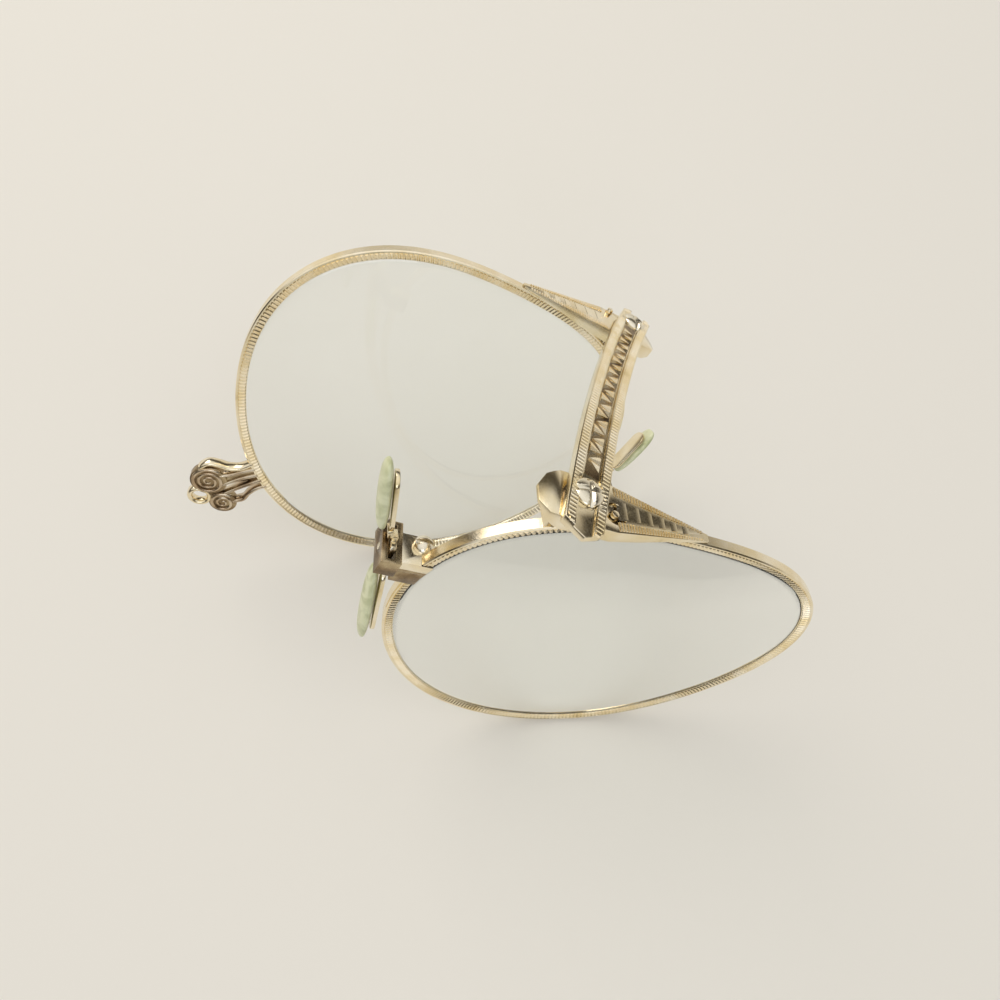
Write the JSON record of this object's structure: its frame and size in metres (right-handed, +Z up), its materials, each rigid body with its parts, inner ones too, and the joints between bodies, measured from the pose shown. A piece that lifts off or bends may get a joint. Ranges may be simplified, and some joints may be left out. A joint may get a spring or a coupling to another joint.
{
  "type": "folding spring pince-nez",
  "caption": "Folding spring pince-nez: two rimmed lenses that swing on a bowed leaf bar, with rocking nose guards, closing screws and a scrolled handle.",
  "frame": {"origin": "bottom centre of the bounding box, with the piece lying part-folded on a level surface", "axes": "+Z up from the surface it lies on; +Y level, from the wearer's right lens to the left lens; +X level, across them, to the open side of the fold"},
  "size_m": [0.0481, 0.0564, 0.0443],
  "materials": {
    "pale_gold_metal": "polished",
    "pale_screw_metal": "polished",
    "clear_glass": "clear",
    "pale_shell": "satin"
  },
  "bodies": {
    "bridge": {"bridge_spring": "pale_gold_metal"},
    "right_lens_unit": {"right_pivot_screw": "pale_screw_metal", "right_hinge_washer": "pale_screw_metal", "right_end_piece": "pale_gold_metal", "right_stop_stud": "pale_gold_metal", "right_rim": "pale_gold_metal", "right_lens": "clear_glass", "right_rim_block_upper": "pale_gold_metal", "right_rim_block_lower": "pale_gold_metal", "right_rim_screw": "pale_screw_metal", "right_guard_bracket": "pale_gold_metal", "right_guard_box": "pale_gold_metal", "right_guard_pin": "pale_screw_metal", "handle": "pale_gold_metal"},
    "left_lens_unit": {"left_pivot_screw": "pale_screw_metal", "left_hinge_washer": "pale_screw_metal", "left_end_piece": "pale_gold_metal", "left_stop_stud": "pale_gold_metal", "left_rim": "pale_gold_metal", "left_lens": "clear_glass", "left_rim_block_upper": "pale_gold_metal", "left_rim_block_lower": "pale_gold_metal", "left_rim_screw": "pale_screw_metal", "left_guard_bracket": "pale_gold_metal", "left_guard_box": "pale_gold_metal", "left_guard_pin": "pale_screw_metal"},
    "right_guard_rocker": {"right_guard_leaf": "pale_gold_metal", "right_upper_pad_mount": "pale_gold_metal", "right_upper_pad": "pale_shell", "right_lower_pad_mount": "pale_gold_metal", "right_lower_pad": "pale_shell"},
    "left_guard_rocker": {"left_guard_leaf": "pale_gold_metal", "left_upper_pad_mount": "pale_gold_metal", "left_upper_pad": "pale_shell", "left_lower_pad_mount": "pale_gold_metal", "left_lower_pad": "pale_shell"}
  },
  "joints": [
    {"name": "right_fold", "type": "hinge", "parent": "bridge", "child": "right_lens_unit", "pos_m": [-0.02189, -0.00632, 0.02642], "axis": [-0.6624, -0.0388, 0.7482], "range_deg": [-112, 58]},
    {"name": "left_fold", "type": "hinge", "parent": "bridge", "child": "left_lens_unit", "pos_m": [-0.00162, 0.00632, 0.04171], "axis": [-0.5378, 0.0388, 0.8422], "range_deg": [-112, 58]},
    {"name": "right_guard_rock", "type": "hinge", "parent": "right_lens_unit", "child": "right_guard_rocker", "pos_m": [-0.01545, 0.00076, 0.00615], "axis": [0.5767, -0.6639, 0.4761], "range_deg": [-36, 4]},
    {"name": "left_guard_rock", "type": "hinge", "parent": "left_lens_unit", "child": "left_guard_rocker", "pos_m": [0.01123, -0.00164, 0.03435], "axis": [0.616, -0.6639, 0.424], "range_deg": [-36, 4]}
  ],
  "couplings": [
    {"joint": "left_fold", "follows": "right_fold", "ratio": 1}
  ]
}
